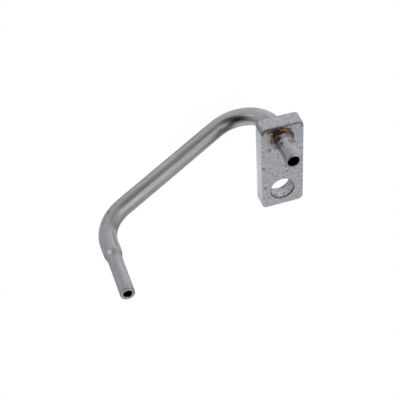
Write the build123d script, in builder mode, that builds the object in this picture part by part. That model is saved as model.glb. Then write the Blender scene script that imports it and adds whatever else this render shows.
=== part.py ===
from build123d import *
import os
from math import cos, radians, sin

os.makedirs("parts", exist_ok=True)

# Piston cooling nozzle: a steel block bolts against the underside of the oil
# gallery, and one bent steel tube is brazed through it. The tube's short spigot
# goes up into the gallery. Its other leg carries the oil across and jets it up at
# the piston.
# Frame: the origin is where the spigot's axis crosses the mounting face, +Z runs
# up along the spigot, and the block's long side runs along +Y to its bolt hole.

# Mounting block, a length of flat steel bar
block_width = 14.7
block_height = 35.0
block_thickness = 5.0
tube_to_end = 6.0
bolt_to_tube = 22.0
bolt_hole_radius = 4.1
block_corner_radius = 1.9
block_edge_radius = 0.2
bolt_hole_chamfer = 0.25

# Brazed seat of the tube in the block
braze_gap = 0.1
front_mouth_radius = 4.2
front_braze_height = 2.6
rear_braze_height = 0.5

# Tube, with its inlet end turned down to the spigot behind a tapered shoulder
tube_radius = 3.0
tube_bore_radius = 2.0
spigot_radius = 2.75
spigot_start = 3.0
spigot_length = 11.2
spigot_edge_chamfer = 0.3
spigot_mouth_chamfer = 0.2

# Bends of the tube, which leave the outlet parallel to the spigot
bend_radius = 13.0
first_bend_angle = 110.5
second_bend_angle = 180.0 - first_bend_angle
run_length = 41.0
run_turn_angle = 15.5

# Outlet end, swaged down to the jet's bore
outlet_length = 22.6
swage_start = 5.0
swage_length = 2.4
swage_blend_radius = 0.9
tip_radius = 2.375
tip_bore_radius = 1.4
tip_edge_chamfer = 0.25
tip_mouth_chamfer = 0.15

seat_radius = tube_radius + braze_gap
rear_braze_radius = tube_radius + rear_braze_height
bend_start = -block_thickness - rear_braze_height
swage_end = swage_start + swage_length

# The tube lies in one upright plane, which turns about the spigot's axis from the
# block's width towards its bolt hole. There x is the reach and y is the height.
tube_plane = Plane(
    origin=(0, 0, 0),
    x_dir=(cos(radians(run_turn_angle)), sin(radians(run_turn_angle)), 0),
    z_dir=(sin(radians(run_turn_angle)), -cos(radians(run_turn_angle)), 0),
)

# Centre line of the bent stretch: first bend, straight run, second bend
with BuildLine(tube_plane) as bent_route:
    first_bend = JernArc(
        start=(0, bend_start),
        tangent=(0, -1),
        radius=bend_radius,
        arc_size=first_bend_angle,
    )
    run = PolarLine(
        start=first_bend @ 1,
        length=run_length,
        direction=first_bend % 1,
    )
    second_bend = JernArc(
        start=run @ 1,
        tangent=run % 1,
        radius=bend_radius,
        arc_size=second_bend_angle,
    )
ring_plane = Plane(
    origin=bent_route.line @ 0,
    x_dir=tube_plane.x_dir,
    z_dir=bent_route.line % 0,
)
outlet_plane = Plane(
    origin=bent_route.line @ 1,
    x_dir=tube_plane.x_dir,
    z_dir=tube_plane.z_dir,
)

# Mounting block: rounded outline, broken edges, bolt hole, countersunk tube seat
with BuildPart() as mounting_block:
    with BuildSketch(Plane.XY.offset(-block_thickness)):
        with Locations((0, block_height / 2 - tube_to_end)):
            RectangleRounded(block_width, block_height, block_corner_radius)
    extrude(amount=block_thickness)
    mounting_side = mounting_block.faces().sort_by(Axis.Z)[-1]
    bolt_head_side = mounting_block.faces().sort_by(Axis.Z)[0]
    fillet(
        mounting_side.edges() + bolt_head_side.edges(),
        radius=block_edge_radius,
    )
    with Locations((0, bolt_to_tube)):
        Hole(bolt_hole_radius)
    bolt_hole_rims = mounting_block.edges(Select.LAST).filter_by(GeomType.CIRCLE)
    chamfer(bolt_hole_rims, length=bolt_hole_chamfer)
    Hole(seat_radius)
    seat_rims = mounting_block.edges(Select.LAST).filter_by(GeomType.CIRCLE)
    chamfer(seat_rims.sort_by(Axis.Z)[-1], length=front_mouth_radius - seat_radius)
mounting_block.part.label = "mounting_block"
export_step(mounting_block.part, "parts/mounting_block.step")

# Tube: the bent stretch is swept as a ring, and both ends are turned profiles
with BuildPart() as tube:
    with BuildSketch(ring_plane):
        Circle(tube_radius)
        Circle(tube_bore_radius, mode=Mode.SUBTRACT)
    sweep(path=bent_route.line)

    with BuildSketch(tube_plane) as inlet_profile:
        with BuildLine():
            Polyline(
                (tube_bore_radius, bend_start),
                (tube_radius, bend_start),
                (tube_radius, front_braze_height),
                (spigot_radius, spigot_start),
                (spigot_radius, spigot_length),
                (tube_bore_radius, spigot_length),
                close=True,
            )
        make_face()
        spigot_end = inlet_profile.vertices().group_by(Axis.Y)[-1]
        chamfer(spigot_end.sort_by(Axis.X)[0], length=spigot_mouth_chamfer)
        spigot_end = inlet_profile.vertices().group_by(Axis.Y)[-1]
        chamfer(spigot_end.sort_by(Axis.X)[-1], length=spigot_edge_chamfer)
    revolve(axis=Axis.Z)

    with BuildSketch(outlet_plane) as outlet_profile:
        with BuildLine():
            Polyline(
                (tube_bore_radius, 0),
                (tube_radius, 0),
                (tube_radius, swage_start),
                (tip_radius, swage_end),
                (tip_radius, outlet_length),
                (tip_bore_radius, outlet_length),
                (tip_bore_radius, swage_end),
                (tube_bore_radius, swage_start),
                close=True,
            )
        make_face()
        swage_corners = outlet_profile.vertices().filter_by_position(Axis.Y, swage_start, swage_end)
        fillet(
            swage_corners.filter_by_position(Axis.X, tip_radius, tube_radius),
            radius=swage_blend_radius,
        )
        tip_end = outlet_profile.vertices().group_by(Axis.Y)[-1]
        chamfer(tip_end.sort_by(Axis.X)[0], length=tip_mouth_chamfer)
        tip_end = outlet_profile.vertices().group_by(Axis.Y)[-1]
        chamfer(tip_end.sort_by(Axis.X)[-1], length=tip_edge_chamfer)
    revolve(axis=Axis(origin=outlet_plane.origin, direction=outlet_plane.y_dir))
tube.part.label = "tube"
export_step(tube.part, "parts/tube.step")

# Braze: copper that fills the seat round the tube, with a concave fillet at the
# mounting face and a plain one behind the block
with BuildPart() as braze_joint:
    with BuildSketch(Plane.XZ):
        with BuildLine():
            front_fillet = TangentArc(
                (tube_radius, front_braze_height),
                (front_mouth_radius, 0),
                tangent=(0, -1),
            )
            Polyline(
                front_fillet @ 1,
                (seat_radius, seat_radius - front_mouth_radius),
                (seat_radius, -block_thickness),
                (rear_braze_radius, -block_thickness),
                (tube_radius, bend_start),
                front_fillet @ 0,
            )
        make_face()
    revolve(axis=Axis.Z)
braze_joint.part.label = "braze_joint"
export_step(braze_joint.part, "parts/braze_joint.step")
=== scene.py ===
from math import cos, pi, radians, sin, tan

import bmesh
import bpy
from mathutils import Matrix, Vector


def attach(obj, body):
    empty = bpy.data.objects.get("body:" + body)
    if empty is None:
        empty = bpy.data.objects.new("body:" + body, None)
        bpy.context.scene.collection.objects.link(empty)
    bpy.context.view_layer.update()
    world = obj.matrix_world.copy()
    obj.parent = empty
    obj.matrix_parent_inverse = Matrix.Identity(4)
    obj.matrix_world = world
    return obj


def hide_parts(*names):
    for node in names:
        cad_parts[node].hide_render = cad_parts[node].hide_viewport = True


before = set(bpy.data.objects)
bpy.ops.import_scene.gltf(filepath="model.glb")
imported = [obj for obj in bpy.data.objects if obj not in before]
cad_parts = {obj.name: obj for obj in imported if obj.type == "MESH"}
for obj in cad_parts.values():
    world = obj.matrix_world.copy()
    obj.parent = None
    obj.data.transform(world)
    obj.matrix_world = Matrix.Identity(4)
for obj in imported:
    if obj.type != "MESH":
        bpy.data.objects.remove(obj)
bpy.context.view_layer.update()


# Mounting block. A short length of flat steel bar with its corners rounded, a bolt
# hole and the seat of the tube drilled through it, then shot blasted all over. The
# CAD solid has its whole shape, so it stays and takes the blasted steel finish here.
mm = 0.001
block_width = 14.7 * mm
block_front = 0.0
block_back = -5.0 * mm
block_inlet_end = -6.0 * mm
block_bolt_end = 29.0 * mm
bolt_hole_place = 22.0 * mm
bolt_hole_radius = 4.1 * mm
block_steel_light = (0.635, 0.635, 0.677, 1)
block_steel_dark = (0.40, 0.40, 0.432, 1)
# Painted-light copies of the steel for the block's sides, and a painted highlight on them
painted_lit_side_light = (0.745, 0.75, 0.80, 1)
painted_lit_side_dark = (0.56, 0.565, 0.605, 1)
side_painted_highlight_colour = (0.88, 0.885, 0.93, 1)
worn_edge_colour = (0.58, 0.58, 0.60, 1)
speck_colour = (0.10, 0.10, 0.11, 1)
burnt_flux = (0.13, 0.105, 0.098, 1)
flux_fringe = (0.17, 0.062, 0.050, 1)
copper_wash = (0.15, 0.082, 0.045, 1)
# Colours of painted shade: bluish and olive by the inlet end, grey on block, spigot and tip
bluish_painted_shade = (0.11, 0.12, 0.14, 1)
olive_painted_shade = (0.085, 0.09, 0.07, 1)
painted_shade_colour = (0.11, 0.11, 0.12, 1)
blue_sheen = (0.44, 0.48, 0.56, 1)
bolt_bore_light = (0.74, 0.73, 0.78, 1)
bolt_bore_dark = (0.42, 0.415, 0.45, 1)
peach_tint = (0.50, 0.39, 0.345, 1)
corner_radius = 1.9 * mm
edge_radius = 0.2 * mm
# Specks on the mounting face: x, y and size in mm
specks = [
    (4.4, 3.4, 0.95),
    (6.5, 11.1, 0.75),
    (6.0, 20.0, 0.65),
    (-1.5, 12.0, 1.00),
    (-4.2, 2.2, 0.65),
    (-1.6, 14.3, 0.60),
    (2.4, 15.6, 0.50),
    (-4.9, 27.2, 0.55),
    (4.9, 24.6, 0.50),
]


class Wire:
    """A socket of a node tree. Arithmetic on it adds the Math nodes."""

    def __init__(self, tree, socket=None):
        self.tree = tree
        self.socket = socket

    def node(self, kind, settings=(), sockets=(), output=0):
        """Add any node: its settings first, then the values or links of its sockets."""
        added = self.tree.nodes.new(kind)
        for name, value in dict(settings).items():
            setattr(added, name, value)
        for name, value in dict(sockets).items():
            if isinstance(value, Wire):
                self.tree.links.new(value.socket, added.inputs[name])
            else:
                added.inputs[name].default_value = value
        return Wire(self.tree, added.outputs[output])

    def side(self, name):
        """Another output of the node that this socket is on."""
        return Wire(self.tree, self.socket.node.outputs[name])

    def maths(self, operation, *values):
        """A Math node with these values."""
        return self.node("ShaderNodeMath", {"operation": operation}, enumerate(values))

    def eased(self, start, end):
        """From 0 at start to 1 at end, smoothly."""
        ranges = {"Value": self, "From Min": start, "From Max": end}
        return self.node("ShaderNodeMapRange", {"interpolation_type": "SMOOTHSTEP"}, ranges)

    def between(self, start, full, last, end):
        """1 from full to last, fading out to start and to end."""
        return self.eased(start, full) * self.eased(end, last)

    def near(self, place, full, faded):
        """1 up to full away from place, 0 past faded."""
        return abs(self - place).eased(faded, full)

    def tint(self, under, over):
        """Colour under where this mask is 0, over where it is 1."""
        return self.node("ShaderNodeMix", {"data_type": "RGBA"}, {0: self, 6: under, 7: over}, 2)

    def __add__(self, other):
        return self.maths("ADD", self, other)

    __radd__ = __add__

    def __sub__(self, other):
        return self.maths("SUBTRACT", self, other)

    def __rsub__(self, other):
        return self.maths("SUBTRACT", other, self)

    def __mul__(self, other):
        return self.maths("MULTIPLY", self, other)

    __rmul__ = __mul__

    def __truediv__(self, other):
        return self.maths("DIVIDE", self, other)

    def __pow__(self, other):
        return self.maths("POWER", self, other)

    def __abs__(self):
        return self.maths("ABSOLUTE", self)


def new_finish(name):
    """An empty material, its tree to build on, and the shader that it ends in."""
    finish = bpy.data.materials.new(name)
    finish.use_nodes = True
    shader = finish.node_tree.nodes["Principled BSDF"]
    return finish, Wire(finish.node_tree), shader


def feed(shader, **wires):
    """Link wires or set values on a shader's sockets, named with _ for a space."""
    for name, value in wires.items():
        socket = shader.inputs[name.replace("_", " ").title().replace("Ior", "IOR")]
        if isinstance(value, Wire):
            value.tree.links.new(value.socket, socket)
        else:
            socket.default_value = value


blasted_steel, wire, shader = new_finish("blasted_steel")
place = wire.node("ShaderNodeTexCoord", output="Object")
split = place.node("ShaderNodeSeparateXYZ", sockets={0: place})
across, along, height = split.side("X"), split.side("Y"), split.side("Z")


def length(*parts):
    """Length of a line with these parts at right angles."""
    return sum(part ** 2 for part in parts) ** 0.5


def noise(place, size, detail=3, roughness=0.55):
    """Soft random grain about as coarse as size, from 0 to 1."""
    grain = {"Vector": place, "Scale": 1 / size, "Detail": detail, "Roughness": roughness}
    return place.node("ShaderNodeTexNoise", sockets=grain)


grit = noise(place, 0.34 * mm)
mottle = noise(place, 1.0 * mm, 2)
cloud = noise(place, 4.0 * mm, 2)
on_front = height.eased(block_front - 0.7 * mm, block_front - 0.3 * mm)

# Distances inwards from the block's sides, ends, faces and rounded outline
to_side = block_width / 2 - abs(across)
to_end = along.maths("MINIMUM", along - block_inlet_end, block_bolt_end - along)
to_face = height.maths("MINIMUM", block_front - height, height - block_back)
beside = to_side.maths("MAXIMUM", corner_radius - to_side, 0)
beyond = to_end.maths("MAXIMUM", corner_radius - to_end, 0)
inset = corner_radius - length(beside, beyond)
to_edge = to_face.maths("MAXIMUM", to_face, inset)
ragged_edge = (grit - 0.5) * (0.4 * mm)
worn = (to_edge + ragged_edge).eased(0.3 * mm, 0.0)

grain = (mottle * 0.65 + grit * 0.35).eased(0.36, 0.64)
face_steel = grain.tint(block_steel_dark, block_steel_light)
# Sides painted lighter than the mounting face as painted light, lighter still towards the bolt end
painted_lit_side = grain.tint(painted_lit_side_dark, painted_lit_side_light)
on_side = to_side.eased(edge_radius, 0.04 * mm)
on_end = to_end.eased(edge_radius, 0.04 * mm)
steel = on_side.tint(face_steel, painted_lit_side)
steel = (on_side * along.eased(2 * mm, 24 * mm) * 0.75).tint(steel, side_painted_highlight_colour)
# Painted shade on the block's ends
steel = (on_end * 0.06).tint(steel, painted_shade_colour)
steel = (worn * 0.2).tint(steel, worn_edge_colour)

# Painted shade on the rounded corner beside the outlet arm, and a painted shade line along it
corner_shade = (beyond / corner_radius).between(0.02, 0.35, 0.75, 1.0)
corner_shade = corner_shade * to_side.eased(1.2 * mm, 0.6 * mm) * inset.eased(0.3 * mm, 0.1 * mm)
corner_shade = corner_shade * along.eased(-3.0 * mm, -4.2 * mm) * across.eased(0.0, 1.0 * mm)
steel = (corner_shade * 0.45).tint(steel, painted_shade_colour)
corner_line = length(across - 7.23 * mm, along + 4.72 * mm).eased(0.45 * mm, 0.15 * mm)
steel = (corner_line * 0.55).tint(steel, painted_shade_colour)
steel = (cloud.eased(0.52, 0.7) * 0.25).tint(steel, peach_tint)
for x, y, size in specks:
    speck = length(across - x * mm, along - y * mm) + ragged_edge
    speck = speck.eased(size * mm, size * 0.2 * mm)
    steel = (speck * on_front * 0.75).tint(steel, speck_colour)


def toward(split, degrees, full, faded):
    """Mask of a sector round the spigot's axis: 1 up to full degrees off, 0 past faded."""
    x, y = split.side("X"), split.side("Y")
    cosine = (x * cos(radians(degrees)) + y * sin(radians(degrees))) / length(x, y)
    return cosine.eased(cos(radians(faded)), cos(radians(full)))


# Flux and heat tints that the brazing left round the spigot
from_spigot = length(across, along) + (mottle - 0.5) * (0.6 * mm)
halo = toward(split, 348, 18, 38) * from_spigot.eased(6.0 * mm, 4.6 * mm)
steel = (halo * on_front * 0.7).tint(steel, peach_tint)
copper_ring = toward(split, 258, 22, 36) * from_spigot.eased(5.1 * mm, 4.6 * mm)
steel = (copper_ring * on_front * 0.9).tint(steel, copper_wash)


def patch(centre, size, edge):
    """Mask of a ragged oval on the mounting face: centre and size in mm, edge its softness."""
    x = (across - centre[0] * mm) / (size[0] * mm)
    y = (along - centre[1] * mm) / (size[1] * mm)
    return (length(x, y) + (mottle - 0.5) * 0.5).eased(1 + edge, 1 - edge) * on_front


steel = (patch((-5.4, -1.0), (1.5, 1.7), 0.5) * 0.6).tint(steel, blue_sheen)
# Painted shade by the inlet end: a bluish patch near the +X corner, and a band inside the edge
steel = (patch((3.9, -4.5), (2.1, 1.0), 0.45) * 0.75).tint(steel, bluish_painted_shade)
end_rim = inset.between(0.1 * mm, 0.4 * mm, 0.8 * mm, 1.3 * mm) * on_front
end_rim = end_rim * along.eased(-3.0 * mm, -4.0 * mm)
steel = (end_rim * across.eased(-11.0 * mm, -5.0 * mm) * 0.65).tint(steel, painted_shade_colour)
steel = (end_rim * across.eased(4.5 * mm, 5.5 * mm) * 0.5).tint(steel, olive_painted_shade)
near_fringe = toward(split, 282, 8, 18) * from_spigot.eased(5.7 * mm, 5.0 * mm)
steel = (near_fringe * on_front * 0.85).tint(steel, flux_fringe)
far_fringe = toward(split, 318, 6, 15) * from_spigot.eased(4.9 * mm, 4.4 * mm)
steel = (far_fringe * on_front * 0.8).tint(steel, flux_fringe)
flux_patch = toward(split, 300, 8, 18) * from_spigot.eased(6.0 * mm, 4.9 * mm)
steel = (flux_patch * on_front * 0.95).tint(steel, burnt_flux)

# Drilled wall of the bolt hole, with painted shade deepening inwards and towards -X, and a
# painted shade line round its mouth
from_bolt = length(across, along - bolt_hole_place)
in_bolt_hole = from_bolt.eased(bolt_hole_radius + 0.05 * mm, bolt_hole_radius)
bolt_bore = mottle.eased(0.38, 0.58).tint(bolt_bore_dark, bolt_bore_light)
steel = in_bolt_hole.tint(steel, bolt_bore)
bore_painted_shade = height.eased(-1.6 * mm, -4.4 * mm) * 0.25 + across.eased(-1.0 * mm, -3.6 * mm) * 0.36
steel = (in_bolt_hole * bore_painted_shade).tint(steel, painted_shade_colour)
rim_inset = 0.12 * mm
bolt_rim = length(from_bolt - bolt_hole_radius - rim_inset, to_face - rim_inset)
bolt_rim = bolt_rim.eased(0.42 * mm, 0.24 * mm)
bolt_rim = bolt_rim * along.eased(bolt_hole_place - 0.6 * mm, bolt_hole_place + 1.4 * mm)
steel = (bolt_rim * 0.8).tint(steel, painted_shade_colour)


def bumps(relief, strength, depth):
    """Normals of a surface with this relief."""
    heights = {"Strength": strength, "Distance": depth, "Height": relief}
    return relief.node("ShaderNodeBump", sockets=heights)


bump = bumps(grit * 0.45 + mottle * 0.55, 0.6, 0.07 * mm)
block_roughness = 0.44 + grit * 0.14 - flux_patch * on_front * 0.15
feed(shader, base_color=steel, metallic=1.0, roughness=block_roughness, normal=bump)
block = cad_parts["mounting_block"]
block.data.materials.clear()
block.data.materials.append(blasted_steel)


# Oil tube. One drawn steel tube: its inlet end is turned down to the spigot and its
# outlet end swaged to the jet's bore while it is straight, and then it is bent twice
# over a round former. The tree below makes it in that order from its half section.
tube_radius = 3.0 * mm
tube_bore_radius = 2.0 * mm
spigot_radius = 2.75 * mm
spigot_height = 11.2 * mm
spigot_foot = 3.3 * mm
shoulder_foot = 2.5 * mm
spigot_edge = 0.3 * mm
spigot_mouth = 0.12 * mm
tip_radius = 2.375 * mm
tip_bore_radius = 1.4 * mm
tip_edge = 0.06 * mm
tip_mouth = 0.15 * mm
swage_start = 5.0 * mm
swage_end = 7.4 * mm
outlet_leg = 22.6 * mm
bend_start = -5.5 * mm
bend_radius = 13.0 * mm
first_bend = radians(110.5)
second_bend = radians(69.5)
run_length = 41.0 * mm
run_turn = radians(15.5)
tube_steel_light = (0.455, 0.448, 0.460, 1)
tube_steel_dark = (0.335, 0.328, 0.336, 1)
outlet_steel_light = (0.495, 0.493, 0.528, 1)
outlet_steel_dark = (0.37, 0.368, 0.395, 1)
# Colour of painted highlights
painted_highlight_colour = (0.80, 0.79, 0.82, 1)
# Near-black of the bore, partly the oil's dark and partly painted shade
bore_oxide_and_shade = (0.012, 0.012, 0.013, 1)
mark_brown = (0.165, 0.115, 0.082, 1)
# Colour of painted dark reflection and painted shade
painted_dark_colour = (0.07, 0.062, 0.058, 1)
# Teal of the painted shade at the spigot's foot
painted_shade_teal = (0.085, 0.12, 0.118, 1)
# Dull oxide of the sawn tip, and the colour of painted shade elsewhere on the tube
dull_oxide_and_shade = (0.13, 0.128, 0.135, 1)


def upright(reach, rise):
    """A point of the upright plane that the bent tube lies in."""
    return Vector((reach * cos(run_turn), reach * sin(run_turn), rise))


climb = first_bend - pi / 2
inlet_end = upright(0, spigot_height)
first_corner = upright(0, bend_start - bend_radius * tan(first_bend / 2))
corner_to_corner = bend_radius * (tan(first_bend / 2) + tan(second_bend / 2)) + run_length
second_corner = first_corner + upright(corner_to_corner * cos(climb), corner_to_corner * sin(climb))
outlet_end = second_corner + upright(0, bend_radius * tan(second_bend / 2) + outlet_leg)
bends_length = bend_radius * (first_bend + second_bend)
tube_length = spigot_height - bend_start + bends_length + run_length + outlet_leg
outlet_start = tube_length - outlet_leg

# Corners of the wall's half section: place along the tube, radius, and easing in mm
wall_corners = [
    (0, spigot_radius - spigot_edge, 0.05),
    (spigot_edge, spigot_radius, 0.15),
    (spigot_height - spigot_foot, spigot_radius, 0.35),
    (spigot_height - shoulder_foot, tube_radius, 0.35),
    (outlet_start + swage_start, tube_radius, 0.7),
    (outlet_start + swage_end, tip_radius, 0.7),
    (tube_length - tip_edge, tip_radius, 0.03),
    (tube_length, tip_radius - tip_edge, 0.03),
    (tube_length, tip_bore_radius + tip_mouth, 0.04),
    (tube_length - tip_mouth, tip_bore_radius, 0.04),
    (outlet_start + swage_end, tip_bore_radius, 0.3),
    (outlet_start + swage_start, tube_bore_radius, 0.3),
    (spigot_mouth, tube_bore_radius, 0.05),
    (0, tube_bore_radius + spigot_mouth, 0.05),
]


def half_section(corners, longest):
    """The wall's closed outline: each corner eased by its own amount, long sides divided."""
    outline = []
    for number, (run, radius, ease) in enumerate(corners):
        corner = Vector((run, radius, 0))
        before = Vector((*corners[number - 1][:2], 0))
        after = Vector((*corners[(number + 1) % len(corners)][:2], 0))
        coming = corner + (before - corner).normalized() * ease * mm
        going = corner + (after - corner).normalized() * ease * mm
        for step in range(5):
            t = step / 4
            outline.append(coming * (1 - t) ** 2 + corner * 2 * t * (1 - t) + going * t ** 2)
    stations = []
    for number, point in enumerate(outline):
        last = outline[number - 1]
        parts = max(1, round((point - last).length / longest))
        stations += [last.lerp(point, part / parts) for part in range(parts)]
    return stations


section = bpy.data.meshes.new("tube_section")
section.from_pydata(half_section(wall_corners, 0.6 * mm), [], [])
oil_tube = bpy.data.objects.new("oil_tube", section)
bpy.context.scene.collection.objects.link(oil_tube)

bender = bpy.data.node_groups.new("turn_then_bend", "GeometryNodeTree")
bender.interface.new_socket("Half Section", in_out="INPUT", socket_type="NodeSocketGeometry")
for name, kind in (
    ("Inlet End", "NodeSocketVector"),
    ("First Corner", "NodeSocketVector"),
    ("Second Corner", "NodeSocketVector"),
    ("Outlet End", "NodeSocketVector"),
    ("Bend Plane Normal", "NodeSocketVector"),
    ("Bend Radius", "NodeSocketFloat"),
    ("Bore Drift", "NodeSocketVector"),
    ("Spigot Lean", "NodeSocketVector"),
    ("Steps In A Bend", "NodeSocketInt"),
    ("Sides", "NodeSocketInt"),
    ("Finish", "NodeSocketMaterial"),
):
    bender.interface.new_socket(name, in_out="INPUT", socket_type=kind)
bender.interface.new_socket("Tube", in_out="OUTPUT", socket_type="NodeSocketGeometry")
asked = Wire(bender).node("NodeGroupInput")
switch = asked.node("GeometryNodeIndexSwitch", {"data_type": "VECTOR"})
for spare in range(2):
    switch.socket.node.index_switch_items.new()
bender.links.new(asked.node("GeometryNodeInputIndex").socket, switch.socket.node.inputs["Index"])
for number, name in enumerate(("Inlet End", "First Corner", "Second Corner", "Outlet End")):
    bender.links.new(asked.side(name).socket, switch.socket.node.inputs[number + 1])
points = asked.node("GeometryNodePoints", sockets={"Count": 4, "Position": switch})
straight_legs = asked.node("GeometryNodePointsToCurves", sockets={0: points})
centre_line = asked.node(
    "GeometryNodeFilletCurve",
    {"mode": "POLY"},
    {
        "Curve": straight_legs,
        "Count": asked.side("Steps In A Bend"),
        "Radius": asked.side("Bend Radius"),
    },
)
stations = asked.node(
    "GeometryNodeAttributeDomainSize",
    {"component": "MESH"},
    {"Geometry": asked.side("Half Section")},
    "Point Count",
)
sheet = asked.node(
    "GeometryNodeMeshGrid",
    sockets={
        "Size X": 1,
        "Size Y": 1,
        "Vertices X": stations + 1,
        "Vertices Y": asked.side("Sides") + 1,
    },
)
sheet_place = asked.node("GeometryNodeInputPosition")
sheet_split = asked.node("ShaderNodeSeparateXYZ", sockets={0: sheet_place})
station = (sheet_split.side("X") + 0.5) * stations
station = station.maths("FLOORED_MODULO", station.maths("ROUND", station), stations)
turn = (sheet_split.side("Y") + 0.5) * (2 * pi)
section_place = asked.node(
    "GeometryNodeSampleIndex",
    {"data_type": "FLOAT_VECTOR"},
    {"Geometry": asked.side("Half Section"), "Value": sheet_place, "Index": station},
)
section_split = asked.node("ShaderNodeSeparateXYZ", sockets={0: section_place})
distance, radius = section_split.side("X"), section_split.side("Y")
sideways = radius * turn.maths("COSINE", turn)
inwards = radius * turn.maths("SINE", turn)
drift = asked.node("ShaderNodeSeparateXYZ", sockets={0: asked.side("Bore Drift")})
drifted = radius.eased(2.3 * mm, 2.1 * mm) * distance.eased(6 * mm, 0)
lean = asked.node("ShaderNodeSeparateXYZ", sockets={0: asked.side("Spigot Lean")})
leant = distance.eased(8 * mm, 0)
marked = asked.node(
    "GeometryNodeStoreNamedAttribute",
    {"data_type": "FLOAT_VECTOR", "domain": "POINT"},
    {
        "Geometry": sheet,
        "Name": "straight_place",
        "Value": asked.node("ShaderNodeCombineXYZ", sockets={0: distance, 1: sideways, 2: inwards}),
    },
)
on_line = asked.node(
    "GeometryNodeSampleCurve",
    {"mode": "LENGTH", "use_all_curves": False},
    {"Curves": centre_line, "Length": distance},
    "Position",
)
plane_normal = asked.side("Bend Plane Normal")
within = asked.node(
    "ShaderNodeVectorMath",
    {"operation": "CROSS_PRODUCT"},
    {0: on_line.side("Tangent"), 1: plane_normal},
)
sideways = sideways + drifted * drift.side("X") + leant * lean.side("X")
inwards = inwards + drifted * drift.side("Y") + leant * lean.side("Y")
scaling, adding = {"operation": "SCALE"}, {"operation": "ADD"}
aside = asked.node("ShaderNodeVectorMath", scaling, {0: plane_normal, "Scale": sideways})
within = asked.node("ShaderNodeVectorMath", scaling, {0: within, "Scale": inwards})
bent = asked.node("ShaderNodeVectorMath", adding, {0: on_line, 1: aside})
bent = asked.node("ShaderNodeVectorMath", adding, {0: bent, 1: within})
shaped = asked.node("GeometryNodeSetPosition", sockets={"Geometry": marked, "Position": bent})
closed = asked.node(
    "GeometryNodeMergeByDistance", sockets={"Geometry": shaped, "Distance": 0.0005 * mm}
)
smooth = asked.node(
    "GeometryNodeSetShadeSmooth", sockets={"Geometry": closed, "Shade Smooth": True}
)
real = asked.node("GeometryNodeRealizeInstances", sockets={"Geometry": smooth})
finished = asked.node(
    "GeometryNodeSetMaterial", sockets={"Geometry": real, "Material": asked.side("Finish")}
)
bender.links.new(finished.socket, bender.nodes.new("NodeGroupOutput").inputs["Tube"])

drawn_steel, wire, shader = new_finish("drawn_steel")
straight = wire.node("ShaderNodeAttribute", {"attribute_name": "straight_place"}, output="Vector")
split = straight.node("ShaderNodeSeparateXYZ", sockets={0: straight})
distance, sideways, inwards = split.side("X"), split.side("Y"), split.side("Z")
from_axis = length(sideways, inwards)
turn_sine = inwards / from_axis
turn = inwards.maths("ARCTAN2", inwards, sideways)
lengthwise = straight.node(
    "ShaderNodeVectorMath", {"operation": "MULTIPLY"}, {0: straight, 1: (0.07, 1, 1)}
)
streaks = noise(lengthwise, 0.45 * mm)
bands = noise(lengthwise, 1.3 * mm)
mottle = noise(straight, 0.9 * mm, 2)
grain = (streaks * 0.35 + bands * 0.4 + mottle * 0.25).eased(0.34, 0.66)
past_bends = distance.eased(86 * mm, 100 * mm)
steel = past_bends.tint(
    grain.tint(tube_steel_dark, tube_steel_light), grain.tint(outlet_steel_dark, outlet_steel_light)
)

# Painted shade and painted highlights on the tube and spigot, and a bluish tint on the spigot.
# Each mark has where it starts, is full, is last full and ends, along the tube in mm and
# round it as the turn's sine, then strength and colour. A mark with no start or end of its
# own has values there that lie outside the tube.
everywhere = (-3, -2, 2, 3)
tube_painted_light = [
    # Painted shade: beside the block, under the run, a band along the run, one side of the outlet
    ((-2, -1, 19, 25), (-3, -2, -0.15, 0.2), 0.42, dull_oxide_and_shade),
    ((32, 38, 44, 84), (0.36, 0.5, 2, 3), 0.5, dull_oxide_and_shade),
    ((18, 21, 58, 66), (-0.46, -0.28, -0.12, 0.06), 0.2, dull_oxide_and_shade),
    ((86, 100, 130, 140), (-3, -2, -0.95, -0.8), 0.25, dull_oxide_and_shade),
    # Painted highlights on the outlet, along the run and on the first bend
    ((104, 113, 117.5, 118.5), (-0.9, -0.6, -0.4, -0.1), 0.16, painted_highlight_colour),
    ((56, 68, 84, 90), (-0.98, -0.84, -0.72, -0.58), 0.18, painted_highlight_colour),
    ((20.6, 22.6, 24.6, 26.6), (0.3, 0.45, 0.55, 0.7), 0.3, painted_highlight_colour),
]
spigot_painted_light_and_tint = [
    # Painted light over the spigot, lighter on one side, and a painted highlight
    ((3.2, 5.0, 8.8, 9.6), everywhere, 0.16, painted_highlight_colour),
    ((4.8, 6.0, 7.6, 8.8), (-0.8, -0.55, -0.35, -0.1), 0.35, painted_highlight_colour),
    ((6.9, 7.7, 8.7, 9.5), (-0.3, 0.0, 0.6, 0.9), 0.3, painted_highlight_colour),
    # A bluish tint of the spigot's steel
    ((-2, -1, 7, 9), everywhere, 0.14, blue_sheen),
]


def marked_over(steel, marks):
    """The steel's colour with these marks laid over it, one after the other."""
    for places, sines, strength, colour in marks:
        mark = distance.between(*[place * mm for place in places]) * turn_sine.between(*sines)
        steel = (mark * strength).tint(steel, colour)
    return steel


steel = marked_over(steel, tube_painted_light)

# On the first bend a brown mark, a painted dark reflection, a painted highlight and painted
# shade on its inner side; a dent in the second painted as shade, and a painted highlight past it
brown_mark = distance.near(37.2 * mm, 0.6 * mm, 3.4 * mm) * turn.near(-0.66, 0.1, 0.42)
steel = (brown_mark * 0.4).tint(steel, mark_brown)
# Painted dark reflection along the first bend
slant = (33.5 * mm - distance) * 20
painted_dark_reflection = distance.near(31.8 * mm, 2.2 * mm, 8.0 * mm)
painted_dark_reflection = painted_dark_reflection * abs(turn + 0.90 + slant).eased(0.40, 0.12)
steel = (painted_dark_reflection * 0.55).tint(steel, painted_dark_colour)
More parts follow.
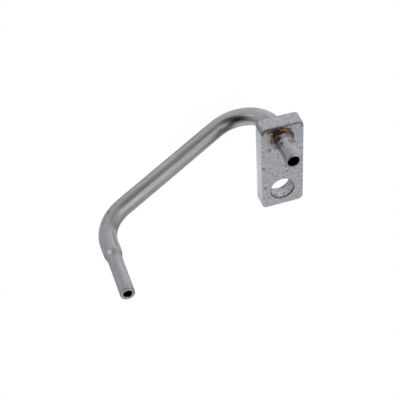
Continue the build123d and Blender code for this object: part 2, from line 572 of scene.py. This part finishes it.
# Painted highlight on the first bend
bend_painted_highlight = distance.near(25 * mm, 2 * mm, 5 * mm) * turn.near(-1.7, 0.15, 0.4)
steel = (bend_painted_highlight * 0.28).tint(steel, painted_highlight_colour)
# Painted shade on the first bend's inner side
inner_painted_shade = distance.near(38.5 * mm, 1.0 * mm, 4.5 * mm) * turn.near(-1.5, 0.15, 0.55)
steel = (inner_painted_shade * 0.5).tint(steel, painted_dark_colour)

near_side = sideways.eased(0.0, 1.0 * mm)
# Painted highlight on the swage's shoulder
swage_painted_highlight = length(distance - 104.4 * mm, inwards - 0.45 * mm).eased(1.1 * mm, 0.4 * mm)
steel = (swage_painted_highlight * near_side * 0.9).tint(steel, painted_highlight_colour)
# Painted shade standing for a dent
dent_painted_shade = length(distance - 88.0 * mm, inwards - 0.6 * mm).eased(1.0 * mm, 0.3 * mm)
steel = (dent_painted_shade * near_side * 0.35).tint(steel, painted_dark_colour)

# The spigot's turned edge with a painted shade line and spot, painted light over the spigot,
# and painted shade at its foot and down one side
# Painted shade line along the turned edge, and a painted shade spot
skin = from_axis.eased(spigot_radius - 0.15 * mm, spigot_radius - 0.05 * mm)
edge_line = distance.near(0.3 * mm, 0.08 * mm, 0.24 * mm) * skin * near_side
edge_line = edge_line * turn_sine.near(0.45, 0.35, 0.6)
steel = (edge_line * 0.5).tint(steel, painted_shade_colour)
edge_spot = length(distance, sideways + 2.3 * mm, inwards + 1.3 * mm)
steel = (edge_spot.eased(0.75 * mm, 0.35 * mm) * 0.6).tint(steel, painted_shade_colour)
steel = marked_over(steel, spigot_painted_light_and_tint)
# Painted shade on one side of the spigot's foot
foot_painted_shade = inwards.eased(-0.2 * mm, -1.9 * mm)
foot_painted_shade = foot_painted_shade * distance.between(6.3 * mm, 8.4 * mm, spigot_height, spigot_height + 1 * mm)
steel = (foot_painted_shade * 0.75).tint(steel, painted_shade_teal)
# Painted shade down one side of the spigot
side_painted_shade = turn_sine.eased(-0.25, -0.75) * distance.eased(8.8 * mm, 7.6 * mm)
steel = (side_painted_shade * 0.38).tint(steel, dull_oxide_and_shade)
# The turned chamfer of the spigot's end, painted lighter and more on one side as a painted
# highlight
turned_end = from_axis.eased(spigot_radius - 0.35 * mm, spigot_radius - 0.25 * mm)
turned_end = turned_end * distance.eased(0.34 * mm, 0.28 * mm)
turned_end = turned_end * (turn_sine.near(-0.35, 0.2, 0.45) * 0.5 + 0.35)
steel = turned_end.tint(steel, painted_highlight_colour)

# The sawn tip with a painted shade line behind its rim, and the inside of the tube painted
# near-black, partly the oil's dark and partly painted shade
tip_end = distance.eased(tube_length - 0.12 * mm, tube_length - 0.05 * mm)
steel = (tip_end * 0.3).tint(steel, dull_oxide_and_shade)
# Painted shade line round the tip just behind its rim, on one side
tip_line = distance.eased(tube_length - 0.55 * mm, tube_length - 0.3 * mm) * (1 - tip_end)
tip_line = tip_line * sideways.eased(-0.5 * mm, 1.0 * mm)
steel = (tip_line * 0.5).tint(steel, painted_shade_colour)
in_tube = from_axis.eased(tube_bore_radius + 0.08 * mm, tube_bore_radius + 0.005 * mm)
in_tube = in_tube * distance.eased(0.1 * mm, 0.3 * mm)
in_tip = from_axis.eased(tip_bore_radius + 0.1 * mm, tip_bore_radius)
past_swage = distance.eased(outlet_start + swage_start, outlet_start + swage_end)
inside = in_tube * (1 - past_swage) + in_tip * past_swage
steel = inside.tint(steel, bore_oxide_and_shade)
bump = bumps(streaks * 0.4 + mottle * 0.6, 0.25, 0.045 * mm)
feed(shader, base_color=steel, metallic=1.0, roughness=0.2 + mottle * 0.12, normal=bump)

bending = oil_tube.modifiers.new("turn_then_bend", "NODES")
bending.node_group = bender
sizes = {
    "Inlet End": inlet_end,
    "First Corner": first_corner,
    "Second Corner": second_corner,
    "Outlet End": outlet_end,
    "Bend Plane Normal": Vector((sin(run_turn), -cos(run_turn), 0)),
    "Bend Radius": bend_radius,
    "Bore Drift": Vector((0.08, -0.15, 0)) * mm,
    "Spigot Lean": Vector((0.04, -0.15, 0)) * mm,
    "Steps In A Bend": 72,
    "Sides": 80,
    "Finish": drawn_steel,
}
for socket in bender.interface.items_tree:
    if socket.name in sizes:
        bending[socket.identifier] = sizes[socket.name]
bent_tube = oil_tube.evaluated_get(bpy.context.evaluated_depsgraph_get())
solid = bpy.data.meshes.new_from_object(bent_tube)
oil_tube.modifiers.clear()
oil_tube.data = solid
shell = bmesh.new()
shell.from_mesh(solid)
bmesh.ops.recalc_face_normals(shell, faces=shell.faces)
shell.to_mesh(solid)
shell.free()
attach(oil_tube, "root")
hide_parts("tube")


# Brazed joint. Copper that was laid round the tube as a ring, melted in a furnace and
# drawn into the seat. It stands up round the spigot in a hollow fillet whose wetted
# edges wander a little, and shows again as a thin fillet behind the block.
braze_sides = 120
front_fillet_height = 2.6 * mm
front_mouth_radius = 4.2 * mm
seat_radius = 3.1 * mm
rear_fillet_radius = 3.6 * mm
copper_film = 0.03 * mm
# The copper's own colour, painted bright as a painted highlight
copper_painted_highlight = (0.42, 0.20, 0.145, 1)
copper_ochre = (0.20, 0.125, 0.058, 1)
copper_maroon = (0.085, 0.025, 0.016, 1)
fillet_grey = (0.44, 0.425, 0.42, 1)
fillet_pale = (0.70, 0.67, 0.65, 1)
fillet_brown = (0.12, 0.09, 0.072, 1)
burnt_copper = (0.075, 0.056, 0.048, 1)
fillet_rust = (0.20, 0.14, 0.12, 1)
# Colour of painted shade on the fillet's steep part
fillet_painted_shade = (0.11, 0.12, 0.105, 1)


def wander(turn, seed):
    """How far a wetted edge strays round the joint, from -1 to 1."""
    slow, quick = 0.5 * sin(2 * turn + seed), 0.3 * sin(5 * turn + 2.3 * seed)
    return slow + quick + 0.2 * sin(11 * turn + 4.1 * seed)


def braze_outline(turn):
    """The joint's section at one turn round the tube, from the spigot round to the rear."""
    inner = tube_radius - copper_film
    top = front_fillet_height + 0.12 * mm * wander(turn, 1.1)
    drawn_in = 0.16 * mm * (1 - cos(turn - radians(235)))
    foot = front_mouth_radius - drawn_in + 0.05 * mm * wander(turn, 3.7)
    sunk = max(0.0, front_mouth_radius - foot)
    rear = rear_fillet_radius + 0.08 * mm * wander(turn, 2.2)
    outline = []
    for step in range(13):
        t = step / 12
        reach = inner + (foot - inner) * (1 - cos(t * pi / 2)) ** 1.15
        outline.append((reach, top * (1 - sin(t * pi / 2)) ** 0.9 + copper_film - sunk * t ** 3))
    outline += [
        (foot, -0.02 * mm - sunk),
        (foot - 0.2 * mm, -0.3 * mm - sunk),
        (seat_radius, -1.1 * mm),
        (seat_radius, block_back),
        (rear - 0.05 * mm, block_back + 0.02 * mm),
        (rear, block_back - 0.04 * mm),
        ((rear + inner) / 2 - 0.05 * mm, block_back - 0.2 * mm),
        (inner, block_back - 0.5 * mm),
    ]
    return outline


copper = bmesh.new()
rings = []
for side in range(braze_sides):
    turn = 2 * pi * side / braze_sides
    outline = braze_outline(turn)
    rings.append([copper.verts.new((r * cos(turn), r * sin(turn), z)) for r, z in outline])
for side, ring in enumerate(rings):
    next_ring = rings[(side + 1) % braze_sides]
    for step in range(len(ring)):
        following = (step + 1) % len(ring)
        copper.faces.new((ring[step], ring[following], next_ring[following], next_ring[step]))
bmesh.ops.recalc_face_normals(copper, faces=copper.faces)
for face in copper.faces:
    face.smooth = True
copper_mesh = bpy.data.meshes.new("braze")
copper.to_mesh(copper_mesh)
copper.free()
braze = bpy.data.objects.new("braze", copper_mesh)
bpy.context.scene.collection.objects.link(braze)

furnace_copper, wire, shader = new_finish("furnace_copper")
place = wire.node("ShaderNodeTexCoord", output="Object")
split = place.node("ShaderNodeSeparateXYZ", sockets={0: place})
from_axis = length(split.side("X"), split.side("Y"))
flow = noise(place, 1.0 * mm)
patches = noise(place, 2.4 * mm, 2)
ragged = from_axis + (flow - 0.5) * (0.3 * mm)

# A painted highlight in the copper's own colour runs along a line that starts near the foot
# and climbs the spigot's side
climbed = split.side("Y").maths("ARCTAN2", split.side("Y"), split.side("X")) + 0.75
line_radius = 4.1 * mm - climbed.maths("MAXIMUM", climbed, 0) * (1.1 * mm)
off_line = ragged - line_radius - toward(split, 278, 6, 24) * (0.1 * mm)
steep = ragged.eased(3.35 * mm, 3.15 * mm)
brown = toward(split, 218, 22, 44) * (patches + 0.7) * (1 - steep)
colour = brown.maths("MINIMUM", brown, 1).tint(fillet_grey, fillet_brown)
colour = toward(split, 30, 22, 42).tint(colour, fillet_pale)
rusty = toward(split, 345, 20, 36) * off_line.eased(0.1 * mm, 0.3 * mm)
colour = rusty.tint(colour, fillet_rust)
# Painted shade on the steep part of the fillet towards 328 degrees
colour = (toward(split, 328, 22, 38) * steep).tint(colour, fillet_painted_shade)
wetted = toward(split, 298, 50, 68) * (1 - steep) * off_line.eased(0.35 * mm, 0.1 * mm)
colour = wetted.tint(colour, copper_maroon)
colour = (toward(split, 246, 5, 14) * (1 - steep) * 0.7).tint(colour, copper_ochre)
near_painted_highlight = toward(split, 266, 11, 19) * off_line.near(0, 0.1 * mm, 0.34 * mm)
colour = near_painted_highlight.tint(colour, copper_painted_highlight)
side_copper_painted_highlight = toward(split, 352, 13, 30) * off_line.near(0, 0.06 * mm, 0.26 * mm)
colour = side_copper_painted_highlight.tint(colour, copper_painted_highlight)
burnt = toward(split, 300, 6, 17) * (1 - steep * 0.75)
colour = burnt.tint(colour, burnt_copper)
bump = bumps(flow, 0.4, 0.05 * mm)
copper_roughness = 0.2 + flow * 0.15 + burnt * 0.35
feed(shader, base_color=colour, metallic=1.0, roughness=copper_roughness, normal=bump)
copper_mesh.materials.append(furnace_copper)
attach(braze, "root")
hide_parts("braze_joint")


# Table and surroundings. A white table top that the first bend rests on, under a soft
# white tent with one large lamp beside the camera and a dark gap overhead.
table_height = -21.5 * mm
table_half = 0.9
table = bpy.data.meshes.new("table")
table.from_pydata(
    [(x, y, table_height) for x, y in ((-1, -1), (1, -1), (1, 1), (-1, 1))],
    [],
    [(0, 1, 2, 3)],
)
table.transform(Matrix.Diagonal((table_half, table_half, 1, 1)))
table_top = bpy.data.objects.new("table_top", table)
bpy.context.scene.collection.objects.link(table_top)
white_top = bpy.data.materials.new("white_top")
white_top.use_nodes = True
white_top.node_tree.nodes.clear()
wire = Wire(white_top.node_tree)
ray = wire.node("ShaderNodeLightPath", output="Is Camera Ray")
see_through = ray.maths("MAXIMUM", ray.side("Is Glossy Ray"), ray.side("Is Transmission Ray"))

# How bright the metal sees the table top's glow, a painted light: dimmer away from the part,
# with a painted shadow in the run's shade, and brighter in a painted pool of light beside the
# spigot
table_place = wire.node("ShaderNodeTexCoord", output="Object")
table_split = table_place.node("ShaderNodeSeparateXYZ", sockets={0: table_place})
x, y = table_split.side("X"), table_split.side("Y")
from_part = length(x - 5 * mm, y + 5 * mm)
under_run = x * cos(run_turn) + y * sin(run_turn)
off_run = y * cos(run_turn) - x * sin(run_turn)
painted_light_patch = x.near(11.5 * mm, 4 * mm, 8 * mm) * y.between(6 * mm, 16 * mm, 48 * mm, 58 * mm)
right_under = under_run.between(14 * mm, 26 * mm, 60 * mm, 80 * mm)
right_under = right_under * off_run.near(0, 2 * mm, 12 * mm)
beyond_run = off_run.eased(-18 * mm, -38 * mm)
shade = right_under * 0.4 + beyond_run * (under_run.eased(55 * mm, 45 * mm) * 0.25 - 0.05)
shade = shade - off_run.near(-12 * mm, 3 * mm, 8 * mm) * 0.1
mirrored = 0.84 - from_part.eased(22 * mm, 100 * mm) * 0.6 - off_run.eased(15 * mm, 50 * mm) * 0.6
mirrored = mirrored + painted_light_patch * 0.5 - shade
whiteness = ray * 0.92 + see_through * mirrored
paint = {"Color": (0.78, 0.78, 0.79, 1)}
painted = wire.node("ShaderNodeBsdfDiffuse", sockets=paint, output="BSDF")
white = {"Color": (1, 1, 1, 1), "Strength": 1.05}
glow = wire.node("ShaderNodeEmission", sockets=white, output="Emission")
mixed = whiteness.node("ShaderNodeMixShader", sockets={0: whiteness, 1: painted, 2: glow})
surface = white_top.node_tree.nodes.new("ShaderNodeOutputMaterial").inputs["Surface"]
white_top.node_tree.links.new(mixed.socket, surface)
table.materials.append(white_top)

# Brighter and darker places of the tent: direction, sharpness, and brightness added
tent_grey = 0.72
tent_lobes = [
    ((0.534, -0.305, 0.789), 6, -0.80),
    ((-0.024, 0.119, 0.993), 30, -0.55),
    ((0.214, -0.914, 0.345), 30, -0.39),
    ((-0.170, -0.900, 0.400), 30, -0.20),
    ((-0.030, -0.980, 0.160), 40, -0.16),
    ((0.527, -0.722, 0.449), 30, -0.27),
    ((0.420, -0.900, 0.060), 30, -0.20),
    ((-0.770, 0.586, 0.253), 60, -0.28),
    ((0.920, -0.160, 0.360), 30, 0.20),
    ((0.099, 0.887, 0.450), 14, 0.33),
    ((0.350, 0.930, 0.080), 10, 0.15),
    ((-0.640, 0.480, 0.600), 30, -0.13),
    ((0.809, -0.588, 0.02), 30, 1.0),
]
tent = bpy.data.worlds.new("tent")
tent.use_nodes = True
bpy.context.scene.world = tent
wire = Wire(tent.node_tree)
look = wire.node("ShaderNodeTexCoord", output="Generated")
brightness = look.maths("ADD", tent_grey, 0)
for direction, sharpness, amount in tent_lobes:
    ends = {0: look, 1: Vector(direction).normalized()}
    nearness = look.node("ShaderNodeVectorMath", {"operation": "DOT_PRODUCT"}, ends, "Value")
    brightness = brightness + look.maths("EXPONENT", (nearness - 1) * sharpness) * amount
brightness = brightness.maths("MAXIMUM", brightness, 0.02)
ray = wire.node("ShaderNodeLightPath", output="Is Camera Ray")
whiteness = ray.maths("MAXIMUM", ray, ray.side("Is Transmission Ray"))
tent_light = brightness * (1 - whiteness) + whiteness
background = tent.node_tree.nodes["Background"]
background.inputs["Color"].default_value = (1, 1, 1, 1)
tent.node_tree.links.new(tent_light.socket, background.inputs["Strength"])

lamp_direction = Vector((-0.47, -0.33, 0.81)).normalized()
lamp_distance = 0.55
lamp_size = 0.54
lamp_brightness = 0.32
aim = Vector((0.025, 0.01, 0.0))
softbox = bpy.data.lights.new("softbox", "AREA")
softbox.shape = "SQUARE"
softbox.size = lamp_size
softbox.energy = lamp_brightness * pi * lamp_size ** 2
softbox_object = bpy.data.objects.new("softbox", softbox)
softbox_object.matrix_world = Matrix.Translation(aim + lamp_direction * lamp_distance) @ (
    lamp_direction.to_track_quat("Z", "Y").to_matrix().to_4x4()
)
bpy.context.scene.collection.objects.link(softbox_object)


# Camera. It looks from where the photograph was taken and stands upside down, because
# the part lies so in the picture. Its place, turn and lens were fitted to the photograph.
camera_place = Vector((0.100944, -0.258416, 0.272295))
camera_right = (-0.9513417, 0.0513463, 0.3038298)
camera_up = (-0.2480449, -0.7126172, -0.6562397)
camera_back = (0.1828188, -0.6996716, 0.6906786)
lens = bpy.data.cameras.new("camera")
lens.sensor_width = 36
lens.lens = 108
lens.clip_start = 0.01
camera = bpy.data.objects.new("camera", lens)
camera.matrix_world = Matrix.Translation(camera_place) @ (
    Matrix((camera_right, camera_up, camera_back)).transposed().to_4x4()
)
bpy.context.scene.collection.objects.link(camera)
bpy.context.scene.camera = camera
bpy.context.scene.view_settings.view_transform = "Standard"
